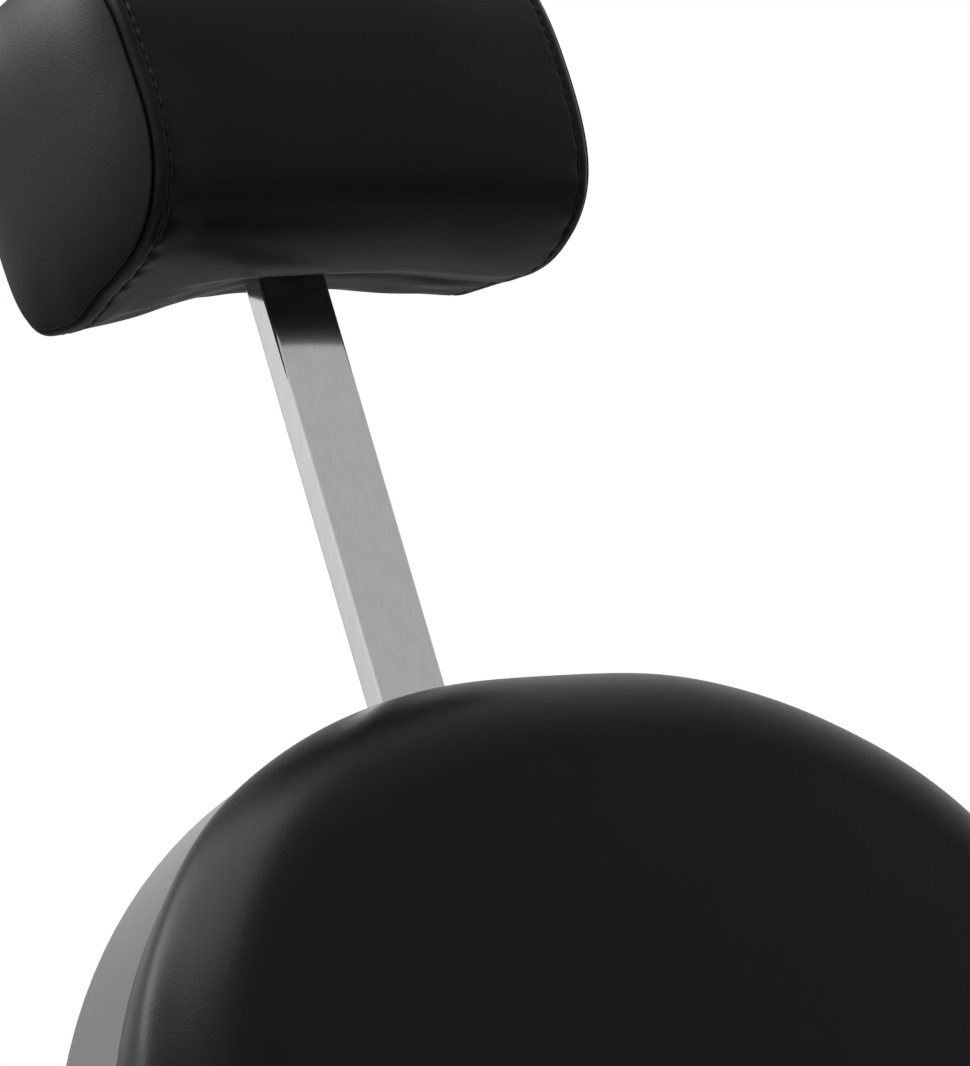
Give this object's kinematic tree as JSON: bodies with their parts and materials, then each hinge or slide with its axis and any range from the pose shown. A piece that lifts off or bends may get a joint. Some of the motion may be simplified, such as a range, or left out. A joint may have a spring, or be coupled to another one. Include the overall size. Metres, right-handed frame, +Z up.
{
  "type": "barber chair",
  "caption": "Barber chair with a round base, hydraulic column, arm loops, linked footrest, reclining round back and a bolster headrest on a sliding bar.",
  "frame": {"origin": "on the floor, at the middle of the round base's underside", "axes": "+Z up, -Y the way the sitter faces, -X the sitter's right hand"},
  "size_m": [0.647, 1.2502, 1.3273],
  "materials": {
    "rubber": "matt black rubber",
    "cast_iron": "black painted casting",
    "polished_cover": "bright chrome plate",
    "dark_steel": "satin black paint",
    "black_steel": "gloss black paint",
    "polished_steel": "bright chrome plate",
    "polished_bar": "polished, with faint brushing on its edges",
    "polished_alloy": "polished casting",
    "bronze": "plain bearing metal",
    "zinc_steel": "bright zinc",
    "silver_band": "satin silver",
    "plywood": "bare plywood",
    "painted_board": "plywood painted matt black",
    "leatherette": "smooth black leatherette over foam",
    "arm_pad": "soft black moulded foam with a skin",
    "black_plastic": "fine-grained black",
    "nylon": "natural nylon"
  },
  "bodies": {
    "base": {"floor_pad": "rubber", "base_plate": "cast_iron", "base_cover": "polished_cover", "pump_body": "dark_steel", "pump_bolts": "zinc_steel", "pump_gland": "polished_steel", "column_shroud": "polished_cover", "pedal_bracket": "dark_steel"},
    "pedal": {"pump_pedal": "polished_steel", "pedal_pad": "rubber"},
    "lift": {"lift_ram": "polished_steel", "swivel_washer": "bronze"},
    "seat": {"swivel_hub": "dark_steel", "hub_bolts": "zinc_steel", "seat_rails": "dark_steel", "seat_crossbars": "dark_steel", "recline_brackets": "dark_steel", "legrest_brackets": "dark_steel", "seat_board": "painted_board", "seat_screws": "zinc_steel", "seat_band": "silver_band", "seat_cushion": "leatherette", "arm_frame_right": "polished_steel", "arm_frame_left": "polished_steel", "arm_pad_base_right": "black_plastic", "arm_pad_base_left": "black_plastic", "arm_pad_right": "arm_pad", "arm_pad_left": "arm_pad", "arm_bolts": "zinc_steel", "gas_tube": "black_steel", "gas_mount": "dark_steel", "legrest_pins": "polished_steel", "release_bush": "black_plastic"},
    "back": {"back_board": "plywood", "back_panel": "black_plastic", "back_band": "silver_band", "back_cushion": "leatherette", "back_arms": "dark_steel", "back_screws": "zinc_steel", "recline_shaft": "polished_steel", "recline_lever": "dark_steel", "headrest_guide": "dark_steel", "friction_pad": "nylon", "pad_cover": "zinc_steel"},
    "headrest": {"headrest_post": "polished_bar", "post_stop": "polished_bar", "headrest_core": "plywood", "headrest_bolts": "zinc_steel", "headrest_cushion": "leatherette"},
    "gas_rod": {"gas_rod": "polished_steel"},
    "legrest": {"legrest_arms": "polished_steel", "legrest_board": "painted_board", "legrest_band": "silver_band", "legrest_cushion": "leatherette"},
    "link": {"link_bars": "dark_steel"},
    "footrest": {"footrest_plate": "polished_alloy", "footrest_treads": "rubber", "footrest_pins": "zinc_steel"},
    "release": {"release_handle": "polished_steel", "release_grip": "black_plastic"}
  },
  "joints": [
    {"name": "pedal_press", "type": "hinge", "parent": "base", "child": "pedal", "pos_m": [0, 0.095, 0.088], "axis": [-1, 0, 0], "range_deg": [0, 9], "stiffness_Nm_per_rad": 40, "springref_deg": -5.73},
    {"name": "lift", "type": "slide", "parent": "base", "child": "lift", "axis": [0, 0, 1], "range_m": [0, 0.15]},
    {"name": "swivel", "type": "hinge", "parent": "lift", "child": "seat", "pos_m": [0, 0, 0.34], "axis": [0, 0, 1], "continuous": true},
    {"name": "recline", "type": "hinge", "parent": "seat", "child": "back", "pos_m": [0, 0.232, 0.42], "axis": [-1, 0, 0], "range_deg": [0, 45]},
    {"name": "headrest_height", "type": "slide", "parent": "back", "child": "headrest", "axis": [0, 0.4571, 0.8894], "range_m": [-0.19, 0.03]},
    {"name": "gas_stroke", "type": "slide", "parent": "seat", "child": "gas_rod", "axis": [0, -1, 0], "range_m": [0, 0.04755]},
    {"name": "legrest_swing", "type": "hinge", "parent": "seat", "child": "legrest", "pos_m": [0, -0.262, 0.352], "axis": [-1, 0, 0], "range_deg": [0, 45]},
    {"name": "link_turn", "type": "hinge", "parent": "back", "child": "link", "pos_m": [0, 0.25496, 0.36457], "axis": [-1, 0, 0], "range_deg": [-45, 0]},
    {"name": "footrest_flip", "type": "hinge", "parent": "legrest", "child": "footrest", "pos_m": [0, -0.38617, 0.12004], "axis": [-1, 0, 0], "range_deg": [0, 90]},
    {"name": "release_lift", "type": "hinge", "parent": "seat", "child": "release", "pos_m": [0, -0.172, 0.359], "axis": [1, 0, 0], "range_deg": [0, 20], "stiffness_Nm_per_rad": 4, "springref_deg": -11.46}
  ],
  "couplings": [
    {"joint": "gas_stroke", "follows": "recline", "m_per_rad": 0.060419},
    {"joint": "legrest_swing", "follows": "recline", "ratio": 1},
    {"joint": "link_turn", "follows": "recline", "ratio": -1}
  ]
}
